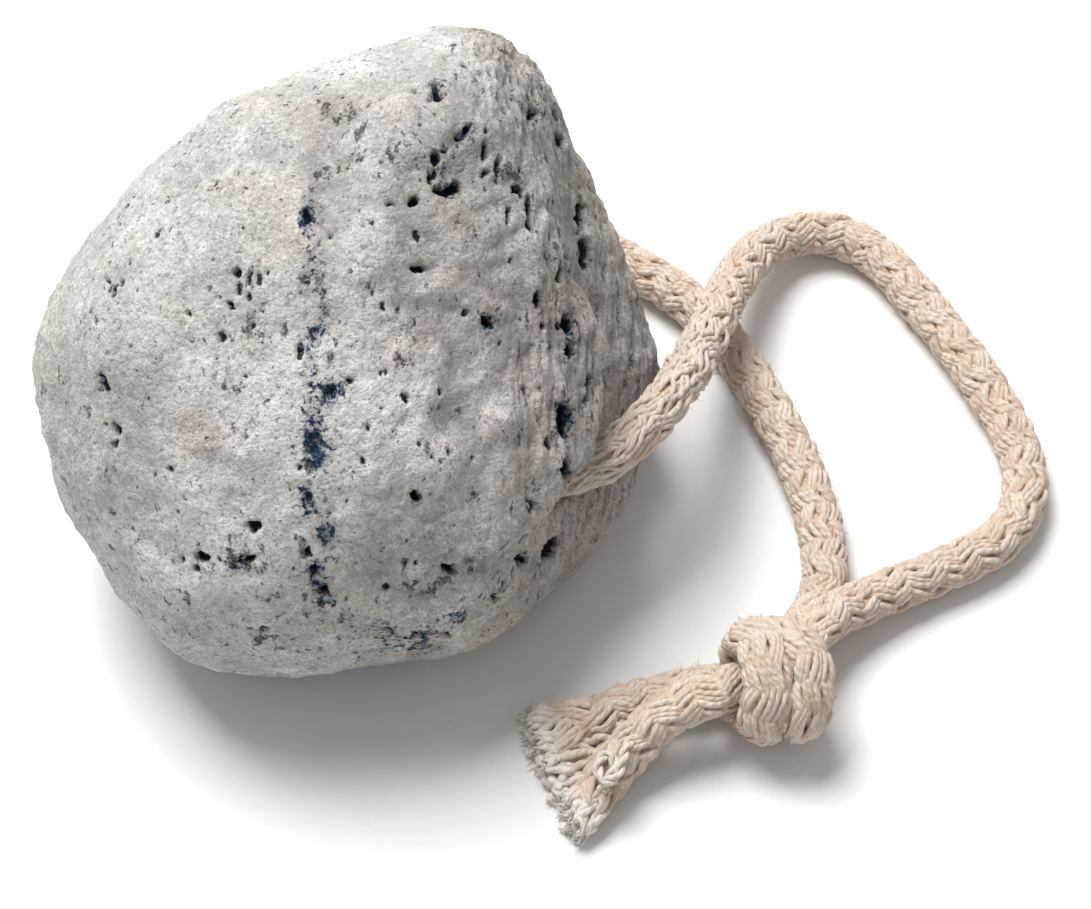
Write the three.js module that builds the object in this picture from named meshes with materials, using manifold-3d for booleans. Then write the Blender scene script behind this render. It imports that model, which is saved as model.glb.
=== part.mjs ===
// A water-worn pumice pebble, drilled through, with one braided cotton cord in the hole.
// The cord's two ends are tied together in an overhand knot beside the stone.
//
// Millimetres, +Z up. The origin is the middle of the stone's footprint box, on the surface it rests on.
// +X runs across the stone towards the cord's loop, and +Y runs away from the broad face.

import * as THREE from 'three';
import { mergeVertices } from 'three/addons/utils/BufferGeometryUtils.js';
import { ImprovedNoise } from 'three/addons/math/ImprovedNoise.js';
import { NURBSCurve } from 'three/addons/curves/NURBSCurve.js';
import Module from 'manifold-3d';

const wasm = await Module();
wasm.setup();

// ---- driving dimensions -------------------------------------------------------------------------

const FACE_LEAN = 58; // degrees that the broad face's outward direction stands above the level
const MIDDLE_HEIGHT = 30; // of the pebble's middle above the surface
const FRONT_SWELL = 30; // from the middle to the crown of the broad face
const BACK_SWELL = 29; // from the middle to the crown of the back
const FRONT_SQUARENESS = 0.78; // 1 is an ellipse; less gives a flatter crown and a fuller shoulder
const BACK_SQUARENESS = 0.96;
const LUMP_SIZE = 17; // across one soft swelling
const LUMP_HEIGHT = 1.3;
const STONE_DETAIL = 14; // rows of triangles to each side of the icosahedron, less one

const VALLEY_DEPTH = 7.5; // of the worn valley under the broad face's edge
const VALLEY_DEEPEST = -22; // degrees round the outline, from +X
const VALLEY_START = -62;
const VALLEY_END = 66;
const VALLEY_LATITUDE = 28; // degrees forward of the outline
const VALLEY_HALF_WIDTH = 11;
const LIP_HEIGHT = 3.2; // of the edge that overhangs the valley
const LIP_LATITUDE = 45;
const LIP_HALF_WIDTH = 10;

const CORD_DIAMETER = 6.5;
const CORD_SIDES = 8;
const CORD_STEP = 5; // along the cord, between rings of corners
const BORE_DIAMETER = 8;
const BORE_SIDES = 12;
const BORE_STEP = 4;
const CLEARANCE = 0.3; // between solids that meet
const AMPLE = 400; // a box side that takes in the whole object

// ---- routes, from the hole to the knot ----------------------------------------------------------

// The two strands meet halfway through the stone, where the two drillings met at a bend.
const MEETING = [13.8, 9.5, 21.8];
const NEAR_INSIDE = [[14.7, -2, 22.3], [17, -9.2, 22.8], [21.6, -14.2, 23.5], [27.4, -15.7, 24.4]];
const FAR_INSIDE = [[12.8, 15, 21.4], [9.6, 23.6, 20.6], [6.2, 31.4, 19.6]];

const NEAR_ROUTE = [
  MEETING, ...NEAR_INSIDE,
  [32.9, -13.7, 25.4], // just out of the mouth, under the lip
  [37.3, -9.8, 26], [40.8, -4.9, 25.2], [43.6, 1, 22.7], [45.9, 7.6, 19],
  [47.9, 14.3, 15.2], [49.9, 20.8, 11.9], // over the far strand
  [52.3, 27.4, 9], [55.2, 32.8, 6.8], [59, 36.9, 5], [64, 38.8, 3.9], [69.3, 37.9, 3.4],
  [74, 33.8, 3.35], [78.2, 27, 3.35], [82.7, 20, 3.35], [86.4, 12.9, 3.35], [89.8, 5.2, 3.35],
  [91.3, -1.9, 3.35], [90.3, -8.8, 3.35], [86.1, -13.6, 3.35], [80, -16.7, 3.35],
  [74, -19.5, 3.6], [70, -21.6, 4.3],
];

const FAR_ROUTE = [
  MEETING, ...FAR_INSIDE,
  [4, 38.4, 18.2], // just out of the mouth, at the back
  [4.1, 44.9, 15.4], [8, 49.8, 11.6], [14, 50.8, 8], [19.9, 47.4, 5.2], [25, 42.6, 3.7],
  [29.8, 38.4, 3.35], [34, 35.2, 3.35], [38.2, 32.6, 3.35], [42.2, 29.7, 3.35], [46.3, 26.1, 3.35],
  [50.1, 21, 3.35], [53.4, 15.2, 3.35], [56.8, 8, 3.35], [60, 0.2, 3.35], [62.1, -7.5, 3.35],
  [63, -13.6, 3.35], [62.9, -18.8, 3.35],
];

// The cut ends leave the knot one on the other and spread as they come down.
const FRONT_TAIL_ROUTE = [
  [47.8, -38.9, 9.6], [43.9, -39.9, 9.3], [40.3, -41.6, 8.3], [37.5, -43.9, 6.3],
  [34.9, -46.8, 4.3], [32.7, -51.2, 3.35], [31.3, -55.6, 3.35],
];

const BACK_TAIL_ROUTE = [
  [48.2, -35, 3.35], [42.9, -35.6, 3.35], [37.7, -37.1, 3.35], [32.4, -39.2, 3.35],
  [27.2, -40.6, 3.35], [23.6, -41.2, 3.35],
];

const KNOT = { middle: [55.2, -36.8, 8.1], size: [17.4, 14.8, 16.2], turn: -42 };
const NECK = { middle: [61.8, -26.4, 6.2], size: [14, 12, 10.5], turn: 50 };

// How many points of each route the drilling takes in, from the meeting out past the mouth.
const SIDE_WAY = 8;
const BACK_WAY = 7;

// ---- solids by booleans -------------------------------------------------------------------------

function toManifold(geometry) {
  const bare = geometry.clone();
  bare.deleteAttribute('normal');
  bare.deleteAttribute('uv');
  const merged = mergeVertices(bare, 1e-4);
  const vertProperties = new Float32Array(merged.attributes.position.array);
  const triVerts = new Uint32Array(merged.index.array);
  return new wasm.Manifold(new wasm.Mesh({ numProp: 3, vertProperties, triVerts }));
}

function toGeometry(solid) {
  const { vertProperties, triVerts } = solid.getMesh();
  const geometry = new THREE.BufferGeometry();
  geometry.setAttribute('position', new THREE.BufferAttribute(vertProperties, 3));
  geometry.setIndex(new THREE.BufferAttribute(triVerts, 1));
  geometry.computeVertexNormals();
  return geometry;
}

// Everything above the surface that the object rests on.
const aboveGround = () => toManifold(new THREE.BoxGeometry(AMPLE, AMPLE, AMPLE).translate(0, 0, AMPLE / 2));

// ---- the pebble ---------------------------------------------------------------------------------

// The outline square to the broad face: across, up the face, and how far forward its widest line sits.
const OUTLINE = [
  [14, 42.4, -1], [21, 40.6, -1], [25.8, 35.6, -2], [29.4, 27.8, -4], [33, 19.6, -6.5], [36.6, 11.3, -10],
  [39.8, 3, -13], [40.7, -4, -14], [38, -16.5, -13], [32, -25.8, -9], [24.5, -33.6, -4], [15, -39.1, -1],
  [2, -41.3, 0], [-11, -42.1, 0], [-20.6, -39.8, 0], [-29, -32, 0], [-37, -18.7, 0],
  [-40.3, -6, 0], [-38.7, 6.4, 0], [-30.7, 18.6, 0], [-19, 29.8, -1], [-5, 36.8, -1], [6, 40.4, -1],
];

const OUTLINE_SAMPLES = 720;

function outlineByAngle() {
  const corners = OUTLINE.map((corner) => new THREE.Vector3(...corner));
  const curve = new THREE.CatmullRomCurve3(corners, true, 'centripetal');
  const samples = curve.getPoints(OUTLINE_SAMPLES);
  const placed = samples.map((point) => ({ angle: Math.atan2(point.y, point.x), point }));
  return placed.sort((a, b) => a.angle - b.angle);
}

const outline = outlineByAngle();

function outlineAt(angle) {
  const after = outline.findIndex((sample) => sample.angle >= angle);
  const high = after < 0 ? outline[0] : outline[after];
  const low = outline[(after < 0 ? outline.length : after || outline.length) - 1];
  const span = THREE.MathUtils.euclideanModulo(high.angle - low.angle, 2 * Math.PI);
  const share = span > 0 ? THREE.MathUtils.euclideanModulo(angle - low.angle, 2 * Math.PI) / span : 0;
  return low.point.clone().lerp(high.point, share);
}

const bell = (value, middle, halfWidth) => Math.exp(-(((value - middle) / halfWidth) ** 2));

// How deep the valley is, and below nothing how far its lip stands out, round the outline and forward of it.
function valleyDepth(longitude, latitude) {
  const round = THREE.MathUtils.radToDeg(longitude);
  const forward = THREE.MathUtils.radToDeg(latitude);
  const rise = THREE.MathUtils.smoothstep(round, VALLEY_START, VALLEY_DEEPEST);
  const fall = 1 - THREE.MathUtils.smoothstep(round, VALLEY_DEEPEST, VALLEY_END);
  const hollow = VALLEY_DEPTH * bell(forward, VALLEY_LATITUDE, VALLEY_HALF_WIDTH);
  return rise * fall * (hollow - LIP_HEIGHT * bell(forward, LIP_LATITUDE, LIP_HALF_WIDTH));
}

const noise = new ImprovedNoise();
const LUMP_PLACE = new THREE.Vector3(3.1, 7.7, 1.9); // which stretch of the noise this stone has

function lump(point) {
  const broad = point.clone().divideScalar(LUMP_SIZE).add(LUMP_PLACE);
  const fine = broad.clone().multiplyScalar(2);
  return LUMP_HEIGHT * (noise.noise(...broad.toArray()) + 0.4 * noise.noise(...fine.toArray()));
}

// A point of the pebble, in the frame of its broad face, from a direction out of its middle.
function pebblePoint(direction) {
  const latitude = Math.asin(THREE.MathUtils.clamp(direction.z, -1, 1));
  const longitude = Math.atan2(direction.y, direction.x);
  const [swell, squareness] = latitude > 0 ? [FRONT_SWELL, FRONT_SQUARENESS] : [BACK_SWELL, BACK_SQUARENESS];
  const point = outlineAt(longitude).multiplyScalar(Math.cos(latitude) ** squareness);
  point.z += swell * Math.sin(latitude);
  const outward = point.clone().normalize();
  const inward = valleyDepth(longitude, latitude);
  return point.addScaledVector(outward, lump(point) * Math.abs(Math.sin(latitude)) - inward);
}

function pebble() {
  const geometry = new THREE.IcosahedronGeometry(1, STONE_DETAIL);
  const position = geometry.attributes.position;
  const lean = new THREE.Matrix4().makeRotationX(THREE.MathUtils.degToRad(90 - FACE_LEAN));
  for (let i = 0; i < position.count; i += 1) {
    const direction = new THREE.Vector3().fromBufferAttribute(position, i).normalize();
    const point = pebblePoint(direction).applyMatrix4(lean);
    position.setXYZ(i, point.x, point.y, point.z + MIDDLE_HEIGHT);
  }
  geometry.computeBoundingBox();
  const middle = geometry.boundingBox.getCenter(new THREE.Vector3());
  return geometry.translate(-middle.x, -middle.y, 0);
}

// ---- cords and bores ----------------------------------------------------------------------------

const CUBIC = 3;

// A cubic spline that starts and ends at its end points and passes close by the others.
function toCurve(points) {
  const spans = points.length - CUBIC;
  const inner = Array.from({ length: spans - 1 }, (_, i) => i + 1);
  const knots = [...Array(CUBIC + 1).fill(0), ...inner, ...Array(CUBIC + 1).fill(spans)];
  return new NURBSCurve(CUBIC, knots, points.map(([x, y, z]) => new THREE.Vector4(x, y, z, 1)));
}

function roundSection(diameter, sides) {
  const corners = Array.from({ length: sides }, (_, i) => {
    const angle = ((i + 0.5) * 2 * Math.PI) / sides;
    return new THREE.Vector2(Math.cos(angle) * (diameter / 2), Math.sin(angle) * (diameter / 2));
  });
  return new THREE.Shape(corners);
}

function tube(points, diameter, sides, step) {
  const extrudePath = toCurve(points);
  const steps = Math.ceil(extrudePath.getLength() / step);
  return new THREE.ExtrudeGeometry(roundSection(diameter, sides), { steps, bevelEnabled: false, extrudePath });
}

// Half of the clearance comes off each strand where the two meet.
function trimmedStart(points) {
  const [first, second, ...rest] = points;
  const start = new THREE.Vector3(...first);
  start.addScaledVector(new THREE.Vector3(...second).sub(start).normalize(), CLEARANCE);
  return [start.toArray(), second, ...rest];
}

const cordTube = (points) => tube(points, CORD_DIAMETER, CORD_SIDES, CORD_STEP);

// The drill's way, from outside the back mouth to outside the side mouth, along the cord's own route.
function drilledStone() {
  const way = [...FAR_ROUTE.slice(1, BACK_WAY).reverse(), ...NEAR_ROUTE.slice(0, SIDE_WAY)];
  const bore = tube(way, BORE_DIAMETER, BORE_SIDES, BORE_STEP);
  const solid = toManifold(pebble()).intersect(aboveGround()).subtract(toManifold(bore));
  return toGeometry(solid);
}

// ---- the knot -----------------------------------------------------------------------------------

function ellipsoid({ middle, size, turn }, detail) {
  const geometry = new THREE.IcosahedronGeometry(0.5, detail);
  geometry.scale(...size);
  geometry.rotateZ(THREE.MathUtils.degToRad(turn));
  return geometry.translate(...middle);
}

function knot() {
  const bulk = toManifold(ellipsoid(KNOT, 7)).add(toManifold(ellipsoid(NECK, 5)));
  const width = CORD_DIAMETER + 2 * CLEARANCE;
  const ways = [NEAR_ROUTE, FAR_ROUTE, FRONT_TAIL_ROUTE, BACK_TAIL_ROUTE];
  const strands = ways.map((route) => toManifold(tube(route, width, CORD_SIDES, CORD_STEP)));
  return toGeometry(strands.reduce((left, strand) => left.subtract(strand), bulk.intersect(aboveGround())));
}

// ---- the object ---------------------------------------------------------------------------------

const PUMICE = { color: '#c6c5c1', roughness: 0.95, metalness: 0 };
const COTTON = { color: '#e8dac8', roughness: 0.9, metalness: 0 };

const object = new THREE.Group();

function addPiece(name, geometry, finish) {
  const mesh = new THREE.Mesh(geometry, new THREE.MeshStandardMaterial(finish));
  mesh.name = name;
  object.add(mesh);
}

addPiece('stone', drilledStone(), PUMICE);
addPiece('cord_near', cordTube(trimmedStart(NEAR_ROUTE)), COTTON);
addPiece('cord_far', cordTube(trimmedStart(FAR_ROUTE)), COTTON);
addPiece('knot', knot(), COTTON);
addPiece('tail_front', cordTube(FRONT_TAIL_ROUTE), COTTON);
addPiece('tail_back', cordTube(BACK_TAIL_ROUTE), COTTON);

export default object;
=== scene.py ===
"""A drilled pumice pebble on a loop of braided cotton cord, knotted and cut off ragged."""

import math
from random import Random

import bmesh
import bpy
import numpy as np
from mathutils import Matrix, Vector, noise
from mathutils.bvhtree import BVHTree


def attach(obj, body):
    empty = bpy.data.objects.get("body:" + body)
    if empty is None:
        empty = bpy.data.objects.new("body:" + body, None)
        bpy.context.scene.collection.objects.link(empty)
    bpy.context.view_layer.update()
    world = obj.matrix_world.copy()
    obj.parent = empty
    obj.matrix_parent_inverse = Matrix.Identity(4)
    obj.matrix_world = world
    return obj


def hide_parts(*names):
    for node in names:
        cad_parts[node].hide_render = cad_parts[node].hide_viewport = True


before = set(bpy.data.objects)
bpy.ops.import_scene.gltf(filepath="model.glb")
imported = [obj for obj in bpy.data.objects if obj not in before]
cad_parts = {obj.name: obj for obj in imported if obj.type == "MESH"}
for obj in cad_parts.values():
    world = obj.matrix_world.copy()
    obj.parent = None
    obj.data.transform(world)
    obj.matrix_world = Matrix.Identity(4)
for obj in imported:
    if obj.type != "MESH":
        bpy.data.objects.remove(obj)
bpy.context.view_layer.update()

MM = 0.001
TURN = 2 * math.pi

# ---- camera ----

LOOK_DOWN = math.radians(58)  # the camera looks square at the broad face
LOOK_AT = Vector((0.0253, -0.0112, 0.0230))
LOOK_FROM = 0.39397  # metres back from that point


def add_camera():
    lens = bpy.data.cameras.new("camera")
    lens.lens = 100
    lens.sensor_width = 36
    camera = bpy.data.objects.new("camera", lens)
    back = Vector((0, -math.cos(LOOK_DOWN), math.sin(LOOK_DOWN)))
    camera.location = LOOK_AT + back * LOOK_FROM
    camera.rotation_euler = (math.pi / 2 - LOOK_DOWN, 0, 0)
    bpy.context.scene.collection.objects.link(camera)
    bpy.context.scene.camera = camera


add_camera()

# ---- the cord's way, in metres ----

# The two strands meet halfway through the stone.
MEETING = (0.0138, 0.0095, 0.0218)

NEAR_ROUTE = [
    MEETING,
    (0.0147, -0.0020, 0.0223), (0.0170, -0.0092, 0.0228), (0.0216, -0.0142, 0.0235),
    (0.0274, -0.0157, 0.0244),
    (0.0329, -0.0137, 0.0254),  # just out of the mouth, under the lip
    (0.0373, -0.0098, 0.0260), (0.0408, -0.0049, 0.0252), (0.0436, 0.0010, 0.0227),
    (0.0459, 0.0076, 0.0190), (0.0479, 0.0143, 0.0152),
    (0.0499, 0.0208, 0.0119),  # over the far strand
    (0.0523, 0.0274, 0.0090), (0.0552, 0.0328, 0.0068), (0.0590, 0.0369, 0.0050),
    (0.0640, 0.0388, 0.0039), (0.0693, 0.0379, 0.0034), (0.0740, 0.0338, 0.00335),
    (0.0782, 0.0270, 0.00335), (0.0827, 0.0200, 0.00335), (0.0864, 0.0129, 0.00335),
    (0.0898, 0.0052, 0.00335), (0.0913, -0.0019, 0.00335), (0.0903, -0.0088, 0.00335),
    (0.0861, -0.0136, 0.00335), (0.0800, -0.0167, 0.00335), (0.0740, -0.0195, 0.0036),
    (0.0700, -0.0216, 0.0043),
]

FAR_ROUTE = [
    MEETING,
    (0.0128, 0.0150, 0.0214), (0.0096, 0.0236, 0.0206), (0.0062, 0.0314, 0.0196),
    (0.0040, 0.0384, 0.0182),  # just out of the mouth, at the back
    (0.0041, 0.0449, 0.0154), (0.0080, 0.0498, 0.0116), (0.0140, 0.0508, 0.0080),
    (0.0199, 0.0474, 0.0052), (0.0250, 0.0426, 0.0037), (0.0298, 0.0384, 0.00335),
    (0.0340, 0.0352, 0.00335), (0.0382, 0.0326, 0.00335), (0.0422, 0.0297, 0.00335),
    (0.0463, 0.0261, 0.00335), (0.0501, 0.0210, 0.00335), (0.0534, 0.0152, 0.00335),
    (0.0568, 0.0080, 0.00335), (0.0600, 0.0002, 0.00335), (0.0621, -0.0075, 0.00335),
    (0.0630, -0.0136, 0.00335), (0.0629, -0.0188, 0.00335),
]

FRONT_TAIL_ROUTE = [
    (0.0478, -0.0389, 0.0096), (0.0439, -0.0399, 0.0093), (0.0403, -0.0416, 0.0083),
    (0.0375, -0.0439, 0.0063), (0.0349, -0.0468, 0.0043), (0.0327, -0.0512, 0.00335),
    (0.0313, -0.0556, 0.00335),
]

BACK_TAIL_ROUTE = [
    (0.0482, -0.0350, 0.00335), (0.0429, -0.0356, 0.00335), (0.0377, -0.0371, 0.00335),
    (0.0324, -0.0392, 0.00335), (0.0272, -0.0406, 0.00335), (0.0236, -0.0412, 0.00335),
]

# Inside the knot each strand goes through the core, turns back behind it, round it from below
# over the front, and out through its own loop. Places are from the knot's middle: to the right,
# up the slope that the broad face leans at, and out of that slope towards the viewer.
KNOT_MIDDLE = Vector((0.0552, -0.0368, 0.0081))
RIGHTWARDS = Vector((1, 0, 0))
UPWARDS = Vector((0, math.sin(LOOK_DOWN), math.cos(LOOK_DOWN)))
OUTWARDS = Vector((0, -math.cos(LOOK_DOWN), math.sin(LOOK_DOWN)))

NEAR_IN_KNOT = [
    (11.6, 9.8, -9.9), (8.2, 8.6, -7.6), (5.2, 6.2, -4.6), (2.4, 2.8, -2.2), (-1.0, 0.4, -1.2),
    (-3.8, -0.8, -2.0), (-4.4, -1.2, -4.0), (-1.6, -0.8, -5.4), (2.4, -1.4, -5.0), (4.0, -3.8, -2.6),
    (3.6, -5.4, 0.8), (3.8, -4.8, 3.6), (4.3, -2.2, 4.9), (4.5, 0.8, 5.0), (4.1, 3.4, 4.6),
    (2.9, 5.4, 3.4), (0.6, 6.6, 0.8), (-1.6, 6.2, -2.4), (-3.2, 3.6, -4.0), (-3.4, 1.0, -2.4),
    (-4.2, -0.2, 0.6),
]
FAR_IN_KNOT = [
    (7.0, 10.2, -12.8), (5.8, 8.4, -9.6), (3.8, 6.4, -6.0), (1.4, 3.4, -3.4), (-1.4, 0.6, -2.4),
    (-4.4, -1.4, -2.6), (-5.8, -2.4, -3.8), (-4.8, -3.0, -4.2), (-3.2, -4.6, -3.0),
    (-2.4, -5.8, 0.2), (-2.0, -5.2, 3.6), (-1.6, -2.2, 5.6), (-1.4, 0.8, 6.0), (-1.9, 3.8, 5.2),
    (-2.9, 6.0, 2.9), (-4.0, 6.4, -0.6), (-4.4, 4.6, -3.6), (-4.2, 2.0, -4.6), (-4.6, 0.0, -4.7),
]

CUBIC = 3
SPAN_POINTS = 24  # points worked out for each span of a route


def in_knot(places):
    """Points of the knot's own frame, in millimetres, as points of the object's, in metres."""
    return [KNOT_MIDDLE + (RIGHTWARDS * r + UPWARDS * u + OUTWARDS * f) * MM for r, u, f in places]


def spline_point(route, at):
    """A cubic spline that starts and ends at its end points and passes close by the others."""
    last = len(route) - CUBIC
    knots = [0] * CUBIC + list(range(last + 1)) + [last] * CUBIC
    span = min(int(at), last - 1)
    points = [Vector(route[span + i]) for i in range(CUBIC + 1)]
    for level in range(1, CUBIC + 1):
        for i in range(CUBIC, level - 1, -1):
            low, high = knots[span + i], knots[span + CUBIC + 1 + i - level]
            points[i] = points[i - 1].lerp(points[i], (at - low) / (high - low))
    return points[CUBIC]


def along(route, step):
    """Evenly spaced points along the route's spline, as an array."""
    spans = len(route) - CUBIC
    count = spans * SPAN_POINTS
    fine = np.array([spline_point(route, spans * i / count) for i in range(count + 1)])
    travelled = distance_along(fine)
    stops = np.linspace(0, travelled[-1], max(2, round(travelled[-1] / step) + 1))
    return np.stack([np.interp(stops, travelled, fine[:, axis]) for axis in range(3)], axis=1)


def distance_along(points):
    return np.concatenate([[0], np.cumsum(np.linalg.norm(np.diff(points, axis=0), axis=1))])


def unit(vectors):
    return vectors / np.maximum(np.linalg.norm(vectors, axis=-1, keepdims=True), 1e-12)


def smooth_step(low, high, value):
    share = np.clip((value - low) / (high - low), 0, 1)
    return share * share * (3 - 2 * share)


# ---- the braid ----

CARRIERS = 6  # bundles that wind each way
YARNS = 3  # yarns side by side in a bundle
YARN_DIAMETER = 0.98 * MM
LAY_LENGTH = 33 * MM  # along the cord, for one turn of a bundle
BRAID_RADIUS = 2.42 * MM  # of the line halfway between over and under
BRAID_RISE = 0.27 * MM  # from that line to a bundle's crown
BUNDLE_SPREAD = 0.63 * MM  # between neighbouring yarns of a bundle
CORE_DIAMETER = 4.95 * MM
BRAID_STEP = 0.5 * MM

WORN_FROM, WORN_TO = 24 * MM, 78 * MM  # where rubbing on the stone has loosened the near strand
KNOT_REACH = 11 * MM  # from the knot's middle to where a strand is round again


def side_vectors(points):
    """Directions square to the path that turn with it and don't twist round it."""
    ahead = unit(np.gradient(points, axis=0))
    side = unit(np.cross(ahead[0], (0.3, 0.2, 1.0)))
    sides = []
    for direction in ahead:
        side = unit(side - direction * np.dot(side, direction))
        sides.append(side)
    return ahead, np.array(sides)


def slow_waves(rng, distance, lengths):
    """A gentle random wave along the path, between about -1 and 1, of lengths in millimetres."""
    waves = [np.sin(TURN * (distance / (length * MM) + rng.random())) for length in lengths]
    return sum(waves) / math.sqrt(len(lengths))


def squeeze(points, offsets, ahead):
    """Flattens the braid where it wraps the knot, and packs it where it goes through the core."""
    middle = np.array(KNOT_MIDDLE)
    outward = points - middle
    reach = np.linalg.norm(outward, axis=1, keepdims=True)
    outward = unit(outward - ahead * (outward * ahead).sum(1, keepdims=True))
    tight = 1 - smooth_step(0.75 * KNOT_REACH, 1.25 * KNOT_REACH, reach)
    core = 1 - smooth_step(2.5 * MM, 5.5 * MM, reach)
    thin = 1 - tight * (0.30 + 0.15 * core)
    wide = 1 + tight * (0.08 - 0.45 * core)
    through = (offsets * outward).sum(1, keepdims=True) * outward
    return through * thin + (offsets - through) * wide


def yarn_of(line, middle, thick, out, shade, lint):
    """A yarn: its line, the line that it lies round, and its thickness and looks at each stop."""
    return {"line": line, "middle": middle, "thick": thick, "out": out, "shade": shade, "lint": lint}


def braid(points, lay, rise, loose, seed):
    """The yarns of a braid along a path: each one's line, thickness, place in or out, and shade."""
    rng = Random(seed)
    distance = distance_along(points)
    ahead, side = side_vectors(points)
    up = np.cross(ahead, side)
    turned = TURN * np.concatenate([[0], np.cumsum(np.diff(distance) / ((lay[1:] + lay[:-1]) / 2))])
    over = np.tanh(1.5 * np.cos(CARRIERS * turned)) / math.tanh(1.5)
    yarns = []
    for way in (1, -1):
        for carrier in range(CARRIERS):
            bundle_shade = rng.random()
            slack = slow_waves(rng, distance, (23, 14)) * 0.10
            bulge = slow_waves(rng, distance, (17, 8.3)) * 0.10 * MM
            for place in range(YARNS):
                across = place - (YARNS - 1) / 2
                stray = slow_waves(rng, distance, (9, 5.3)) * (0.04 + 0.09 * loose)
                stray += slow_waves(rng, distance, (3.7, 2.6)) * (0.015 + 0.06 * loose)
                lift = slow_waves(rng, distance, (7, 4.1)) * (0.06 + 0.12 * loose) * MM
                angle = way * turned + TURN * carrier / CARRIERS + across * BUNDLE_SPREAD / BRAID_RADIUS
                radius = BRAID_RADIUS + way * over * rise + lift + bulge
                angle = angle + stray + slack
                offsets = (np.cos(angle) * radius)[:, None] * side + (np.sin(angle) * radius)[:, None] * up
                line = points + squeeze(points, offsets, ahead)
                width = YARN_DIAMETER * (0.90 + 0.18 * rng.random())
                plump = 1 + 0.07 * slow_waves(rng, distance, (2.6, 1.9))
                thickness = width * plump * (1 - 0.16 * loose)
                # how far out the yarn lies, which the material turns into painted shade further in
                out = np.clip(0.5 + (radius - BRAID_RADIUS) / (2.6 * BRAID_RISE), 0, 1)
                shade = np.full(len(line), 0.35 * bundle_shade + 0.65 * rng.random())
                yarns.append(yarn_of(line, points, thickness, out, shade, 0.2 * loose))
    flat_core = np.full(len(points), CORE_DIAMETER)
    near_knot = np.linalg.norm(points - np.array(KNOT_MIDDLE), axis=1)
    flat_core *= 1 - 0.4 * (1 - smooth_step(0.6 * KNOT_REACH, 1.2 * KNOT_REACH, near_knot))
    nothing = np.zeros(len(points))
    yarns.append(yarn_of(points, points, flat_core, nothing, nothing, nothing))
    return yarns


OVERLAP = 2  # stops that a piece's yarns run on inside the next piece's


def cut(yarns, first, last):
    """Every yarn between two stops, run on a little way and tapered inside the next piece."""
    start = max(first - OVERLAP, 0)
    stop = None if last is None else last + OVERLAP
    pieces = []
    for yarn in yarns:
        piece = {key: values[start:stop].copy() for key, values in yarn.items()}
        if first > 0:
            piece["thick"][:OVERLAP] *= 0.5
        if last is not None:
            piece["thick"][-OVERLAP:] *= 0.5
        pieces.append(piece)
    return pieces


def strand(route, knot_way, tail_route, worn, seed):
    """One strand's yarns from inside the stone to the cut end, and the stops where its pieces join."""
    parts = [along(route, BRAID_STEP)]
    tail = along(tail_route, BRAID_STEP)
    way = [route[-1], *in_knot(knot_way), tail_route[0]]
    parts += [along(way, BRAID_STEP)[1:-1], tail]
    points = np.concatenate(parts)
    distance = distance_along(points)
    reach = np.linalg.norm(points - np.array(KNOT_MIDDLE), axis=1)
    in_tight = 1 - smooth_step(0.6 * KNOT_REACH, 1.3 * KNOT_REACH, reach)
    loose = np.zeros(len(points))
    if worn:
        loose = smooth_step(WORN_FROM, WORN_FROM + 6 * MM, distance)
        loose *= 1 - smooth_step(WORN_TO - 16 * MM, WORN_TO, distance)
    lay = LAY_LENGTH * (1 + 0.15 * in_tight + 0.6 * loose)
    rise = BRAID_RISE * (1 + 0.1 * in_tight - 0.15 * loose)
    yarns = braid(points, lay, rise, loose, seed)
    first_join = len(parts[0])
    second_join = first_join + len(parts[1])
    return yarns, first_join, second_join


# ---- lines made into meshes ----


def add_node(tree, kind, settings=None, give=0, **links):
    """A node with its settings and its inputs, each a value or another node's output; gives its own."""
    node = tree.nodes.new(kind)
    for name, value in (settings or {}).items():
        setattr(node, name, value)
    for name, value in links.items():
        key = int(name[1:]) if name[0] == "i" and name[1:].isdigit() else name.replace("_", " ")
        socket = node.inputs[key]
        if isinstance(value, bpy.types.NodeSocket):
            tree.links.new(value, socket)
        else:
            socket.default_value = value
    return node.outputs[give] if len(node.outputs) else node


def tube_maker(sides):
    """Geometry nodes that give every line a round section as thick as its "thick" attribute says."""
    tree = bpy.data.node_groups.new(f"tube_{sides}", "GeometryNodeTree")
    tree.interface.new_socket("Geometry", in_out="INPUT", socket_type="NodeSocketGeometry")
    tree.interface.new_socket("Geometry", in_out="OUTPUT", socket_type="NodeSocketGeometry")
    given = add_node(tree, "NodeGroupInput")
    lines = add_node(tree, "GeometryNodeMeshToCurve", Mesh=given)
    thick = add_node(tree, "GeometryNodeInputNamedAttribute", {"data_type": "FLOAT"}, Name="thick")
    radius = add_node(tree, "ShaderNodeMath", {"operation": "MULTIPLY"}, i0=thick, i1=0.5)
    sized = add_node(tree, "GeometryNodeSetCurveRadius", Curve=lines, Radius=radius)
    circle = add_node(tree, "GeometryNodeCurvePrimitiveCircle", Resolution=sides, Radius=1.0)
    place = add_node(tree, "GeometryNodeInputPosition")
    vector = {"data_type": "FLOAT_VECTOR"}
    ring = add_node(
        tree, "GeometryNodeStoreNamedAttribute", vector, Geometry=circle, Name="round", Value=place,
    )
    tube = add_node(tree, "GeometryNodeCurveToMesh", i0=sized, i1=ring, Fill_Caps=True)
    if "Scale" in tube.node.inputs:
        tree.links.new(radius, tube.node.inputs["Scale"])
    add_node(tree, "NodeGroupOutput", i0=tube)
    return tree


def evaluated_mesh(piece, name):
    """A plain mesh of the piece as its modifiers leave it."""
    bpy.context.view_layer.update()
    graph = bpy.context.evaluated_depsgraph_get()
    mesh = bpy.data.meshes.new_from_object(piece.evaluated_get(graph), depsgraph=graph)
    mesh.name = name
    return mesh


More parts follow.
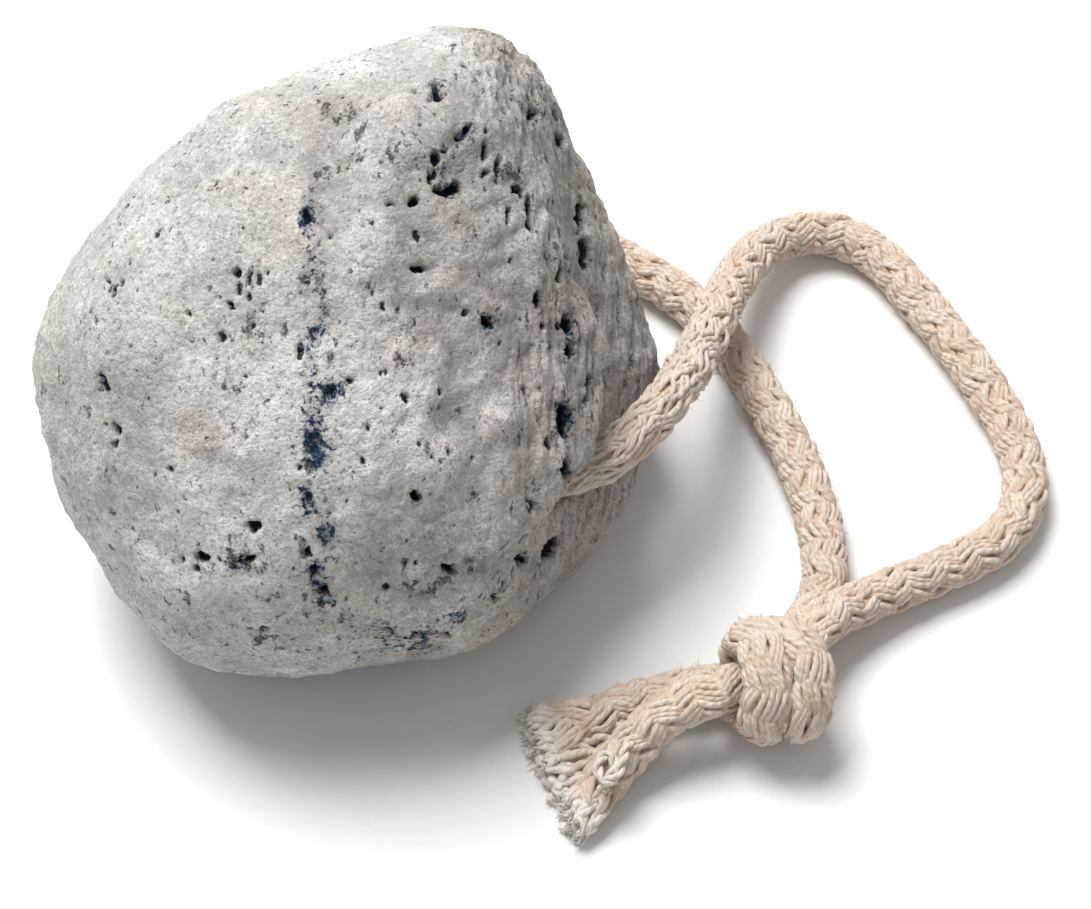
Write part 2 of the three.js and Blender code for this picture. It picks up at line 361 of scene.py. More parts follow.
def new_object(name, mesh):
    piece = bpy.data.objects.new(name, mesh)
    bpy.context.scene.collection.objects.link(piece)
    return piece


def tubes(name, yarns, sides):
    """One closed mesh of round yarns from their lines, with each yarn's values on its surface."""
    counts = [len(yarn["line"]) for yarn in yarns]
    points = np.concatenate([yarn["line"] for yarn in yarns])
    starts = np.arange(len(points) - 1)
    starts = np.delete(starts, np.cumsum(counts)[:-1] - 1)
    lines = bpy.data.meshes.new(name)
    lines.vertices.add(len(points))
    lines.vertices.foreach_set("co", points.ravel())
    lines.edges.add(len(starts))
    lines.edges.foreach_set("vertices", np.stack([starts, starts + 1], axis=1).ravel())
    values = {key: np.concatenate([yarn[key] for yarn in yarns]) for key in ("thick", "out", "shade")}
    teased_out = [np.broadcast_to(yarn["lint"], len(yarn["line"])) for yarn in yarns]
    values["lint"] = np.concatenate(teased_out)
    values["run"] = np.concatenate([distance_along(yarn["line"]) for yarn in yarns])
    for key, numbers in values.items():
        attribute = lines.attributes.new(key, "FLOAT", "POINT")
        attribute.data.foreach_set("value", numbers.astype(np.float32))
    holder = new_object(name + "_lines", lines)
    holder.modifiers.new("tube", "NODES").node_group = tube_maker(sides)
    mesh = evaluated_mesh(holder, name)
    bpy.data.objects.remove(holder)
    mesh.shade_smooth()
    return new_object(name, mesh)


def fuzz(yarns, count, seed):
    """Short loose fibres that stand off the outer side of the yarns, drawn a little thicker than life."""
    rng = np.random.default_rng(seed)
    fibres = []
    outer = [yarn for yarn in yarns if yarn["out"].max() > 0.6]
    while len(fibres) < count:
        yarn = outer[rng.integers(len(outer))]
        stop = rng.integers(2, len(yarn["line"]) - 3)
        if yarn["out"][stop] < 0.45:
            continue
        root = yarn["line"][stop]
        outward = unit(root - yarn["middle"][stop])
        ahead = unit(yarn["line"][stop + 2] - yarn["line"][stop - 2]) * rng.choice([-1, 1])
        lean = outward * rng.uniform(0.05, 0.6) + ahead * rng.uniform(0.3, 1.1) + rng.normal(0, 0.5, 3)
        curl = rng.normal(0, 1, 3) * 0.2
        reach = rng.uniform(0.5, 1.3) * MM
        share = np.linspace(0, 1, 4)[:, None]
        line = root + outward * (0.3 * YARN_DIAMETER) + reach * (share * unit(lean) + share**2 * curl)
        line[:, 2] = np.maximum(line[:, 2], 0.1 * MM)
        flat = np.ones(4)
        thick = FIBRE_DIAMETER * np.array([1, 1, 0.9, 0.6])
        fibres.append(yarn_of(line, line, thick, flat, flat * 0.3, 0.9))
    return fibres


def joined(piece, extra):
    """The second object made part of the first."""
    with bpy.context.temp_override(active_object=piece, selected_editable_objects=[piece, extra]):
        bpy.ops.object.join()
    return piece


def cord_piece(name, yarns, fibres):
    return joined(tubes(name, yarns, YARN_SIDES), tubes(name + "_fibres", fibres, FIBRE_SIDES))


YARN_SIDES, FIBRE_SIDES = 6, 3
FIBRE_DIAMETER = 0.06 * MM
LINT_DIAMETER = 0.20 * MM

near, near_join, near_tail = strand(NEAR_ROUTE, NEAR_IN_KNOT, FRONT_TAIL_ROUTE, worn=True, seed=11)
far, far_join, far_tail = strand(FAR_ROUTE, FAR_IN_KNOT, BACK_TAIL_ROUTE, worn=False, seed=23)

near_yarns = cut(near, 0, near_join)
far_yarns = cut(far, 0, far_join)
knot_yarns = cut(near, near_join, near_tail) + cut(far, far_join, far_tail)
cord_near = cord_piece("braided_cord_near", near_yarns, fuzz(near_yarns, count=1300, seed=3))
cord_far = cord_piece("braided_cord_far", far_yarns, fuzz(far_yarns, count=1300, seed=4))
knot = cord_piece("overhand_knot", knot_yarns, fuzz(knot_yarns, count=1200, seed=5))

# ---- the cut ends ----

# The two cut ends lie side by side and have come unravelled into one ragged fan. Its edge runs
# from the back end's outer side to the front end's, on the floor.
FAN_START = Vector((0.0214, -0.0384, 0))
FAN_END = Vector((0.0292, -0.0568, 0))
FAN_OUTWARD = Vector((-0.92, -0.39, 0))
LOOSE_FROM = Vector((0.0400, -0.0392, 0))  # where the two ends part
LOOSE_TO = Vector((0.0345, -0.0500, 0))
LOOSE_YARNS = 44
TEASED_FIBRES = 4  # that run on from each yarn's end
LINT_LENGTH = 4.5 * MM  # of a yarn's end, where it has come apart into white fluff


def fan_edge(share):
    return np.array(FAN_START.lerp(FAN_END, share))


def spread(yarns, low, high, seed):
    """The yarns bent sideways near their ends so that they reach the fan's edge side by side."""
    rng = np.random.default_rng(seed)
    edge = np.array((FAN_END - FAN_START).normalized())
    sides = [float((yarn["line"][-1] - yarn["middle"][-1]) @ edge) for yarn in yarns]
    widest = max(abs(s) for s in sides)
    bent = []
    for yarn, side in zip(yarns, sides):
        share = low + (high - low) * (0.5 + 0.5 * side / widest)
        target = fan_edge(share) - np.array(FAN_OUTWARD) * rng.uniform(0.2, 1.8) * MM
        shift = target - yarn["line"][-1]
        shift[2] = -0.35 * yarn["line"][-1][2]
        travelled = distance_along(yarn["line"])
        bend = np.clip(travelled / travelled[-1] * 1.5 - 0.5, 0, 1) ** 2
        thinned_core = 1 - 0.8 * smooth_step(travelled[-1] - 10 * MM, travelled[-1] - 3 * MM, travelled)
        thick = yarn["thick"] * (thinned_core if yarn["out"].max() == 0 else 1)
        bent.append(fluffed(yarn | {"line": yarn["line"] + bend[:, None] * shift, "thick": thick}))
    return bent


def fluffed(yarn):
    """The yarn with its end swollen and whitened, where its fibres have come apart."""
    travelled = distance_along(yarn["line"])
    apart = smooth_step(travelled[-1] - LINT_LENGTH, travelled[-1] - 0.2 * LINT_LENGTH, travelled)
    taper = 1 - 0.75 * smooth_step(travelled[-1] - 1.4 * MM, travelled[-1], travelled)
    return yarn | {"thick": yarn["thick"] * (1 + 0.15 * apart) * taper, "lint": 0.8 * apart}


def loose_yarns(seed):
    """Single yarns that have come out of the braid and fill the gap between the two ends."""
    rng = np.random.default_rng(seed)
    yarns = []
    for number in range(LOOSE_YARNS):
        share = min(max((number + rng.uniform(-0.3, 0.3)) / LOOSE_YARNS, 0), 1)
        start = np.array(LOOSE_FROM.lerp(LOOSE_TO, share))
        end = fan_edge(0.12 + 0.80 * share) - np.array(FAN_OUTWARD) * rng.uniform(-0.2, 1.6) * MM
        low = 0.5 * YARN_DIAMETER
        height = low + (number * 7 % 5) * 0.9 * MM
        start[2], end[2] = height + 0.4 * MM, 0.75 * height + low * 0.5
        stops = max(6, round(np.linalg.norm(end - start) / (0.5 * MM)))
        run = np.linspace(0, 1, stops)
        line = start + run[:, None] * (end - start)
        distance = distance_along(line)
        line[:, 0] += 0.35 * MM * slow_waves(rng_of(rng), distance, (5.1, 3.3))
        line[:, 1] += 0.45 * MM * slow_waves(rng_of(rng), distance, (6.3, 3.9))
        line[:, 2] += 0.35 * MM * slow_waves(rng_of(rng), distance, (4.7, 3.1))
        line[:, 2] = np.maximum(line[:, 2] + 0.5 * MM * np.sin(run * math.pi), low)
        flat = np.ones(stops)
        yarns.append(fluffed({
            "line": line, "middle": line - (0, 0, MM), "thick": flat * YARN_DIAMETER * rng.uniform(0.9, 1.25),
            "out": flat * rng.uniform(0.4, 1), "shade": flat * rng.random(),
        }))
    return yarns


def rng_of(rng):
    return Random(int(rng.integers(1 << 30)))


def teased(yarns, seed):
    """Each yarn's end teased out into fibres that run on to the fan's edge."""
    rng = np.random.default_rng(seed)
    fibres = []
    for yarn in yarns:
        line = yarn["line"]
        ahead = unit(line[-1] - line[-4])
        width = yarn["thick"][-1] / 2
        for _ in range(TEASED_FIBRES):
            back = rng.integers(1, 5)
            root = line[-back] + rng.normal(0, 0.45, 3) * width
            toward = unit(0.5 * ahead + 0.8 * np.array(FAN_OUTWARD) + rng.normal(0, 0.24, 3))
            reach = 1.2 * MM * rng.uniform(0.3, 1.2)
            curl = rng.normal(0, 0.16, 3)
            share = np.linspace(0, 1, 5)[:, None]
            fibre = root + reach * (share * toward + share**2 * curl)
            fibre[:, 2] = np.maximum(fibre[:, 2], 0.12 * MM)
            flat = np.ones(5)
            thick = LINT_DIAMETER * np.array([1.2, 1.1, 1, 0.8, 0.5])
            fibres.append(yarn_of(fibre, fibre, thick, flat, flat * rng.random(), 1.0))
    return fibres


def wadding(seed):
    """Matted fluff that the yarns' ends lie in, along the fan's edge."""
    rng = np.random.default_rng(seed)
    rolls = []
    for inward, height in ((0.3, 0.8), (1.6, 1.2), (0.9, 1.9), (2.6, 2.2), (1.9, 2.9), (3.4, 3.0)):
        first, last = 0.04 + 0.04 * rng.random(), 0.95 - 0.04 * rng.random()
        inner = np.array(FAN_OUTWARD) * inward * MM
        share = np.linspace(first, last, 42)[:, None]
        line = fan_edge(0) + share * (fan_edge(1) - fan_edge(0)) - inner + (0, 0, height * MM)
        distance = distance_along(line)
        for axis, sway in enumerate((0.5, 0.3, 0.35)):
            line[:, axis] += sway * MM * slow_waves(rng_of(rng), distance, (3.9, 2.3))
        thick = (1.35 + 0.15 * slow_waves(rng_of(rng), distance, (3.1, 1.7))) * MM
        line[:, 2] = np.maximum(line[:, 2], 0.5 * thick)
        flat = np.ones(len(line))
        out = np.clip(0.6 + 0.4 * slow_waves(rng_of(rng), distance, (2.7, 1.9)), 0, 1)
        rolls.append(yarn_of(line, line - (0, 0, MM), thick, out, flat * 0.4, 0.8))
    return rolls


CURLED_YARN = [
    # one yarn that has sprung out of the front end and curls over it, in metres
    (0.0372, -0.0440, 0.0075), (0.0358, -0.0455, 0.0085), (0.0352, -0.0478, 0.0086),
    (0.0346, -0.0502, 0.0078), (0.0331, -0.0508, 0.0073), (0.0319, -0.0496, 0.0072),
    (0.0320, -0.0476, 0.0076), (0.0335, -0.0466, 0.0080), (0.0344, -0.0480, 0.0078),
    (0.0338, -0.0496, 0.0072), (0.0324, -0.0512, 0.0060),
]


def curled_yarn():
    middle = along(CURLED_YARN, 0.4 * MM)
    flat = np.ones(len(middle))
    ahead, side = side_vectors(middle)
    up = np.cross(ahead, side)
    turned = TURN * distance_along(middle) / (4 * MM)
    plies = []
    for start in (0, math.pi):
        offset = np.cos(turned + start)[:, None] * side + np.sin(turned + start)[:, None] * up
        line = middle + 0.36 * MM * offset
        plies.append(yarn_of(line, middle, flat * 0.80 * MM, flat, flat, 0.35))
    return plies


front_yarns = spread(cut(near, near_tail, None), low=0.72, high=1.0, seed=31)
back_yarns = spread(cut(far, far_tail, None), low=0.0, high=0.42, seed=32)
between_yarns = loose_yarns(seed=8)
with_front, with_back = between_yarns[1::2], between_yarns[::2]
front_fibres = fuzz(front_yarns, count=220, seed=6)
front_fibres += teased(front_yarns, seed=12) + teased(with_front, seed=13)
back_fibres = fuzz(back_yarns, count=220, seed=7)
back_fibres += teased(back_yarns, seed=14) + teased(with_back, seed=15)
fluff_rolls = wadding(seed=17)
back_fibres += fuzz(fluff_rolls, count=500, seed=18)
tail_front = cord_piece("cut_end_front", front_yarns + with_front + curled_yarn(), front_fibres)
tail_back = cord_piece("cut_end_back", back_yarns + with_back + fluff_rolls, back_fibres)

# ---- the stone ----

FACE_MIDDLE = Vector((0, 0, 0.030))
VOXEL = 0.33 * MM
STONE_TRIANGLES = 190_000
SMALL_PORES = 240
PORE_REACH = 2 * MM  # further than any small pore goes from its middle
HOLLOW_REACH = 4.5  # millimetres, further than any hollow goes from its middle
BORE_EDGE = (4.3 * MM, 5.2 * MM)  # from the drilled hole's middle, where the carving sets in

# Hollows of the broad face and its right side, in millimetres: across and up from the face's
# middle, width, height, depth, and degrees that the hollow's top leans to the left.
PITS = [
    (11.9, 32, 1.5, 2.9, 2, 25), (16.1, 26.9, 1.5, 0.8, 1.2, 48), (15.1, 25.8, 1, 0.8, 1.1, 30),
    (12.3, 23.3, 1.8, 2, 1.5, 10), (13.4, 24.4, 1, 0.7, 0.9, 20), (13.6, 18.9, 3.6, 1.4, 1.6, 6),
    (15.2, 19.7, 1.7, 1.5, 1.7, 0), (11.8, 20.6, 0.9, 1.9, 0.9, 25), (9.5, 17.6, 1.3, 1.7, 1.4, -25),
    (6.6, 17.2, 0.9, 0.6, 0.8, 0), (10.1, 9.2, 1.9, 1, 1.3, 10), (18.3, 3.1, 1.5, 1.9, 1.7, 20),
    (15.6, 4.1, 0.8, 1.2, 0.8, 0), (19.8, 21.8, 0.8, 3, 1.4, 0), (18.5, 21.5, 0.6, 1.1, 0.8, 0),
    (18.4, 24.4, 0.7, 2.6, 0.9, 5), (22.1, 19.6, 1.3, 1.6, 1.3, -30), (20.9, 16.3, 1, 2.6, 1.4, -8),
    (23.4, 16.5, 1, 5.2, 1.5, 4), (24.1, 6, 1, 2.4, 1, 10), (24.1, 30.1, 1.2, 1.8, 1.2, 15),
    (27.2, 31, 1.2, 1.8, 1, 15), (27.6, 27.4, 1.4, 2, 1.2, 20), (30.6, 17.8, 1.2, 5.2, 1.3, 2),
    (30.8, 12.6, 1.2, 4.4, 1.3, 0), (28.3, 3.2, 1.5, 2.9, 1.6, 12), (28.6, -0.4, 1.2, 2.3, 1.4, 0),
    (27.7, -8.9, 1.9, 5.4, 1.9, 8), (31.2, -5.1, 0.9, 4.4, 1, -6), (28.2, -15.1, 1.7, 3, 1.5, 14),
    (25.8, -12, 0.9, 2.6, 0.8, 18), (9.6, -18.4, 0.9, 2.1, 1.3, 12), (13.7, -27.6, 2.3, 1.2, 1.4, -28),
    (22.6, -26.6, 1.8, 1.3, 1.3, 20), (18.9, -31.2, 0.8, 0.7, 0.8, 0), (1.8, -4.2, 1, 0.8, 0.8, 0),
    (8.5, -6.4, 0.7, 1.6, 0.8, 10), (-27.6, -10.4, 1.1, 1.5, 1.6, 0), (-27.7, -12, 0.8, 0.6, 0.9, 0),
    (-29.4, -4.6, 1, 3.2, 1, 18), (-20.3, -15.1, 0.8, 0.7, 0.9, 0), (-10.1, -22.1, 1.7, 1.3, 1.3, 30),
    (-16.9, -26.1, 1.8, 1.6, 1.3, 30), (-11.2, -26.1, 2.8, 0.9, 1.2, 10),
    (-3.1, -27.3, 1.2, 1.4, 1.4, 0), (-1.8, -30.4, 1.4, 1.1, 1.2, 30), (-3.6, -24.8, 0.9, 1.6, 1, 0),
    (-9.5, -34.8, 1.4, 0.9, 0.9, 0), (-27.9, 6.7, 0.9, 1.8, 1.2, -8), (-29, 8.3, 0.9, 1.1, 0.8, 20),
    (-26.9, 8, 1, 1, 0.8, 0), (-17.6, 3.9, 0.6, 1.6, 0.8, 8), (-12, 8.7, 1, 1.4, 1, -10),
    (-12.9, 4.6, 1, 1.1, 1, 0), (5.9, -35.1, 1.4, 0.7, 0.9, 0), (9.4, -35.7, 2, 0.8, 1, 10),
    (12.6, -35.6, 1.2, 0.7, 0.9, 0), (-3.8, 15.6, 1, 2.2, 1.1, 0), (-2.4, 0.9, 1.7, 2, 0.5, 0),
    (-0.5, -5.8, 1.8, 1.8, 0.6, 20), (-2.3, -12, 2.4, 3, 0.5, 0), (-3, -14.8, 1.4, 2, 0.6, 10),
    (-3.4, -18.7, 0.9, 1.8, 0.6, 0), (26, -25.3, 1.3, 3.6, 1.2, -30), (26, 24, 0.7, 1.8, 0.8, 12),
    (25.6, 11, 0.7, 2.6, 0.8, 6), (27.2, 9, 0.8, 2.2, 0.9, 6), (22.8, -5.5, 0.6, 1.8, 0.6, 0),
    (24, -20, 1, 1.4, 0.8, 0),
]

# Broad forms of the same surface: across, up, width, height, and how far out, or in below nothing.
FORMS = [
    (14.9, 22, 9.4, 8, -1.6), (-1.2, 20.5, 4.2, 18, -1.2), (19.7, -8.9, 4.4, 4, 1.1),
    (16, 11.5, 7, 5, 0.8), (14.5, -9, 6, 6, -0.9), (29.6, -11, 2.2, 12, -0.8), (8, 27.5, 9, 5, -0.8),
    (-14, 14, 14, 12, 0.6), (-26, -6, 8, 12, -0.5), (12, -14, 8, 8, 0.7), (4.6, 10, 5, 20, 0.8),
    (17.5, -27, 7, 4, -0.7), (9, 17, 4, 10, -0.6), (24.5, 8, 3, 22, 0.7), (29.3, 8, 2.2, 24, -0.7),
    (16, -17, 5, 8, -0.6), (15, -2, 5, 8, -0.5),
]

# Where dark blue mineral grains fill the pores: across, up, width, height and strength.
STAINS = [
    (-3.8, 15.1, 2.4, 5, 0.9), (-3, 9.5, 3, 5, 0.45), (-2.4, 0.8, 3.6, 3.8, 1), (-3.4, 4.2, 3, 4, 0.35),
    (-0.6, -5.6, 4.2, 4.2, 1), (-2.6, -12.6, 4.2, 6.4, 1.15), (-3.2, -18.6, 2.8, 5, 0.8),
    (-2.4, -27.6, 4, 5.4, 0.75), (-1.2, -22.5, 3.4, 5, 0.6), (-1.6, -31, 3.2, 2.6, 0.6),
    (28.4, 1.5, 2.6, 7.6, 0.6), (28, 10.5, 2, 7, 0.4), (27.8, -8.9, 2.6, 6.4, 0.7),
    (28, -15, 2.6, 5, 0.5), (13.8, 20.2, 4.6, 5.4, 0.55), (15.8, 26.2, 3.6, 2.4, 0.6),
    (11.9, 32, 2.4, 3.6, 0.7), (-29, -4.6, 2.4, 4.4, 0.45), (24.4, -18, 5, 3.4, 0.25),
    (18.3, 3, 2.4, 2.8, 0.7), (9.6, -18.4, 1.8, 3, 0.5), (22.2, -26.6, 3, 2.4, 0.6),
    (-12.4, -26.4, 7, 4, 0.5), (24.4, 30, 2.2, 3, 0.6), (-2.6, -7, 4.4, 52, 0.42),
    (7.3, -36.3, 9, 5, 0.7), (2.5, -35, 6, 4, 0.5), (13.5, -33.5, 5, 3, 0.5),
]

SPECKLE_BANDS = [
    # across, up, width, height and strength of the patches where small pores crowd together
    (-11.5, 3, 5, 15, 1), (-29, 5.5, 5, 8, 1), (-2.5, 4, 4, 14, 0.8), (3.5, 24, 6.5, 10, 1.2),
    (11, 25, 8, 9, 0.8), (0.5, 29, 8, 5, 0.8), (-26, 14, 4, 5, 0.8), (-12, -25, 11, 6, 1.1),
    (-3, -24, 4, 12, 1), (9, -35, 22, 5, 1.1), (-15.5, -11.5, 6, 5, 0.5), (20.5, 22, 4, 9, 1.1),
    (26, 4, 4, 30, 0.6), (-28, -14, 4, 8, 0.5), (14, -29, 14, 8, 1.1), (4, -28, 28, 9, 0.8),
    (-10, -35, 16, 5, 0.9), (9, 3, 4, 10, 0.3),
]

PINK_SPOTS = [
    # across, up, width, height and strength of the rusty pink patches
    (20, 10, 30, 80, 0.30), (8, 34, 44, 22, 0.30), (-15.8, -10.2, 9, 8, 1), (-3, 13, 6, 8, 0.45),
    (7, 8, 10, 14, 0.35), (14, 26, 8, 8, 0.45), (3, -22, 8, 10, 0.3), (-27, 3, 6, 10, 0.3),
    (24, 12, 6, 24, 0.4), (17, -2, 24, 40, 0.9),
]

PALE_AND_PAINTED_LIGHT_SPOTS = [
    # across, up, width, height and strength of the paler parts of the broad face; these are paler stone and
    # also painted light, brightening the top strip, the middle and the lower left
    (4, -6, 28, 28, 0.95), (-8, -12, 36, 28, 0.75), (-17, -22, 28, 22, 0.95), (-26, 4, 20, 40, 0.4),
    (27, -14, 8, 22, 0.4), (8, 37, 40, 10, 0.75),
]

GRAINED_FROM, GRAINED_TO = 19.5, 28.0  # millimetres across, where the drawn-out grain sets in
GRAIN_LEAN = 0.18  # how much further left it sets in for each millimetre up the face


def face_axes(points):
    """Millimetres across and up the broad face and out of it, for points in metres."""
    local = (points - np.array(FACE_MIDDLE)) / MM
    return local @ np.array(RIGHTWARDS), local @ np.array(UPWARDS), local @ np.array(OUTWARDS)


def ellipse(across, up, spot):
    """How far out a place is in an ellipse: 0 at its middle, 1 on its edge."""
    middle_across, middle_up, width, height = spot[:4]
    lean = math.radians(spot[5]) if len(spot) > 5 else 0
    right, above = across - middle_across, up - middle_up
    x = right * math.cos(lean) + above * math.sin(lean)
    y = above * math.cos(lean) - right * math.sin(lean)
    return np.hypot(x / (width / 2), y / (height / 2))


def noise_field(points, scale, offset):
    """Smooth noise between about -1 and 1 with features as many millimetres across as scale says."""
    stretch = np.array(scale, float) * MM if np.ndim(scale) else np.full(3, scale * MM)
    return np.array([noise.noise(Vector(p)) for p in points / stretch + offset])


def remeshed_stone():
    """The stone's solid as a fine even mesh with its facets rounded off."""
    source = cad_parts["stone"].data.copy()
    shape = bmesh.new()
    shape.from_mesh(source)
    bmesh.ops.remove_doubles(shape, verts=shape.verts, dist=0.01 * MM)
    shape.to_mesh(source)
    shape.free()
    rough = new_object("stone_rough", source)
    rounding = rough.modifiers.new("rounding", "SUBSURF")
    rounding.levels = rounding.render_levels = 2
    even = rough.modifiers.new("even", "REMESH")
    even.mode = "VOXEL"
    even.voxel_size = VOXEL
    settle = rough.modifiers.new("settle", "SMOOTH")
    settle.factor = 0.5
    settle.iterations = 12
    mesh = evaluated_mesh(rough, "stone_fine")
    bpy.data.objects.remove(rough)
    return mesh


def vertex_array(mesh, what):
    values = np.empty(len(mesh.vertices) * 3, np.float32)
    if what == "co":
        mesh.vertices.foreach_get("co", values)
    else:
        mesh.vertex_normals.foreach_get("vector", values)
    return values.reshape(-1, 3).astype(float)


def scattered_pits(rng, count):
    """Places of small pores all over, on a sphere of directions, crowded by the same noise."""
    pits = []
    while len(pits) < count:
        direction = Vector((rng.gauss(0, 1), rng.gauss(0, 1), rng.gauss(0, 1))).normalized()
        crowd = noise.noise(direction * 3.1 + Vector((5, 1, 8)))
        if crowd > rng.random() * 0.9 - 0.35:
            pits.append(direction)
    return pits


def relief(points, across, up, seen):
    """How far out the worn lumps, the broad forms and the drawn-out grain stand, in millimetres."""
    lively = smooth_step(0.0, 12.0, across) * (0.5 + 0.5 * smooth_step(-8.0, 6.0, up))
    move = 0.70 * noise_field(points, 10.0, 3.0) + 0.42 * noise_field(points, 4.6, 11.0)
    move -= (0.10 + 0.38 * lively) * (1 - 2.2 * np.abs(noise_field(points, 5.0, 14.0)))
    move += 0.20 * noise_field(points, 1.5, 9.0) + 0.12 * noise_field(points, 0.8, 21.0)
    for form in FORMS:
        move += form[4] * np.exp(-(ellipse(across, up, form) ** 2)) * seen
    grained = grain_share(points)
    drawn_out = noise_field(face_stretched(points), 1.0, 2.0)
    move -= 0.60 * grained * np.clip(np.abs(drawn_out) * 2.4 - 0.35, 0, 1)
    folds = noise_field(face_stretched(points), 2.8, 7.0)
    return move + 0.40 * grained * (0.4 - np.abs(folds) * 2)


def open_hollows(points, across, up, facing, move, pit):
    """Opens the broad face's own hollows, with ragged rims."""
    ragged_across = across + 0.42 * noise_field(points, 1.3, 31.0) + 0.22 * noise_field(points, 0.6, 33.0)
    ragged_up = up + 0.50 * noise_field(points, 1.3, 35.0) + 0.25 * noise_field(points, 0.6, 37.0)
    for spot in PITS:
        close = (np.abs(across - spot[0]) < HOLLOW_REACH) & (np.abs(up - spot[1]) < HOLLOW_REACH)
        near_by = np.flatnonzero(close & (facing > -0.2))
        reach = ellipse(ragged_across[near_by], ragged_up[near_by], spot)
        hollow = 1 - smooth_step(0.70, 1.12, reach)
        move[near_by] -= 1.15 * spot[4] * hollow
        pit[near_by] = np.maximum(pit[near_by], hollow * min(1, 0.85 * spot[4]))


def open_pores(mesh, points, move, pit):
    """Opens small pores all over, most of them a little taller than wide."""
    wobble = 1 + 0.7 * noise_field(points, 0.9, 6.0)
    tree = BVHTree.FromPolygons([Vector(p) for p in points], [tuple(f.vertices) for f in mesh.polygons])
    rng = Random(5)
    for direction in scattered_pits(rng, SMALL_PORES):
        place, *_ = tree.ray_cast(FACE_MIDDLE + direction * 0.09, -direction)
        if place is None:
            continue
        width = 0.24 + 0.34 * rng.random() ** 3
        tallness = 1.0 + 1.3 * rng.random()
        depth = 0.6 * width + 0.2
        close = np.flatnonzero(np.abs(points - np.array(place)).max(axis=1) < PORE_REACH)
        apart = points[close] - np.array(place)
        tall = apart @ np.array(UPWARDS)
        flat = np.sqrt(np.maximum((apart**2).sum(1) - tall**2, 0))
        reach = np.hypot(flat / (width * MM), tall / (tallness * width * MM)) * wobble[close]
        hollow = 1 - smooth_step(0.6, 1.05, reach)
        move[close] -= depth * hollow
        pit[close] = np.maximum(pit[close], 0.75 * hollow)


def give_values(mesh, values):
    """Values for the mesh's points that its material reads by name."""
    for key, numbers in values.items():
        attribute = mesh.attributes.new(key, "FLOAT", "POINT")
        attribute.data.foreach_set("value", numbers.astype(np.float32))


def carve(mesh):
    """Moves the stone's surface in and out for its forms, hollows, pores and drawn-out grain."""
    points, normals = vertex_array(mesh, "co"), vertex_array(mesh, "normal")
    across, up, _ = face_axes(points)
    facing = normals @ np.array(OUTWARDS)
    inside_bore = bore_share(points)
    move = relief(points, across, up, smooth_step(-0.25, 0.15, facing))
    # painted shade: how far in the surface lies, which the material darkens
    sunken = np.clip(0.35 - move / 1.3, 0, 1)
    pit = np.zeros(len(points))
    open_hollows(points, across, up, facing, move, pit)
    open_pores(mesh, points, move, pit)
    move *= 1 - 0.8 * inside_bore
    points += normals * (move * MM)[:, None]
    points[:, 2] = np.maximum(points[:, 2], 0)  # it stands on the floor
    mesh.vertices.foreach_set("co", points.ravel().astype(np.float32))
    # pit and sunken are where the material paints shade
    give_values(mesh, {"pit": pit, "sunken": sunken})
    mesh.update()


def grain_share(points):
    """How strongly the drawn-out grain shows: it sets in along a ragged line and comes in patches."""
    across, up, _ = face_axes(points)
    uneven = noise_field(points, (9.0, 22.0, 22.0), 8.0)
    reached = across + GRAIN_LEAN * np.maximum(up, 0) + 6 * uneven
    return smooth_step(GRAINED_FROM, GRAINED_TO, reached) * (0.75 + 0.5 * uneven)


def face_stretched(points):
    """Places measured so that noise on them is drawn out up the face: 0.9 mm across, 6 mm up."""
    across, up, out = face_axes(points)
    return np.stack([across / 0.9, up / 6.0, out / 1.4], axis=1) * MM


def bore_share(points):
    """1 inside the drilled hole and 0 outside it."""
    way = np.concatenate([along(FAR_ROUTE[:6], 1.5 * MM)[::-1], along(NEAR_ROUTE[:7], 1.5 * MM)])
    nearest = np.full(len(points), 1.0)
    for stop in way:
        nearest = np.minimum(nearest, ((points - stop) ** 2).sum(1))
    return 1 - smooth_step(*BORE_EDGE, np.sqrt(nearest))


def patches(points, spots):
    """How strongly the spots colour each place of the broad face's side of the stone."""
    across, up, _ = face_axes(points)
    total = np.zeros(len(points))
    for spot in spots:
        total = np.maximum(total, spot[4] * np.exp(-0.9 * ellipse(across, up, spot) ** 2))
    return total


def paint(mesh):
    """Where stains, crowded pores and drawn-out grain lie, as values for the stone's material."""
    points, normals = vertex_array(mesh, "co"), vertex_array(mesh, "normal")
    seen = smooth_step(-0.2, 0.2, normals @ np.array(OUTWARDS))
    elsewhere = (1 - seen) * np.clip(noise_field(points, 9.0, 4.0) * 1.6, 0, 1)
    give_values(mesh, {
        "stain": patches(points, STAINS) * seen,
        "crowd": patches(points, SPECKLE_BANDS) * seen + 0.8 * elsewhere,
        "grained": grain_share(points),
        "pink": patches(points, PINK_SPOTS) * seen,
        "light": patches(points, PALE_AND_PAINTED_LIGHT_SPOTS) * seen,
    })


def thinned(piece, triangles):
    """The piece with fewer triangles, kept where its surface bends most."""
    before = sum(len(face.vertices) - 2 for face in piece.data.polygons)
    thin = piece.modifiers.new("thin", "DECIMATE")
    thin.ratio = min(1, triangles / before)
    mesh = evaluated_mesh(piece, piece.name)
    piece.modifiers.clear()
    piece.data = mesh
    mesh.shade_smooth()
    return piece


def pumice_stone():
    mesh = remeshed_stone()
    carve(mesh)
    piece = thinned(new_object("pumice_stone", mesh), STONE_TRIANGLES)
    paint(piece.data)
    return piece


stone = pumice_stone()

# ---- materials ----


def linear(code):
    """A colour's sRGB hex code as the linear values that a shader takes."""
    parts = [int(code[i:i + 2], 16) / 255 for i in (1, 3, 5)]
    return (*(c / 12.92 if c <= 0.04045 else ((c + 0.055) / 1.055) ** 2.4 for c in parts), 1)


def new_material(name):
    material = bpy.data.materials.new(name)
    material.use_nodes = True
    tree = material.node_tree
    return material, tree, tree.nodes["Principled BSDF"]


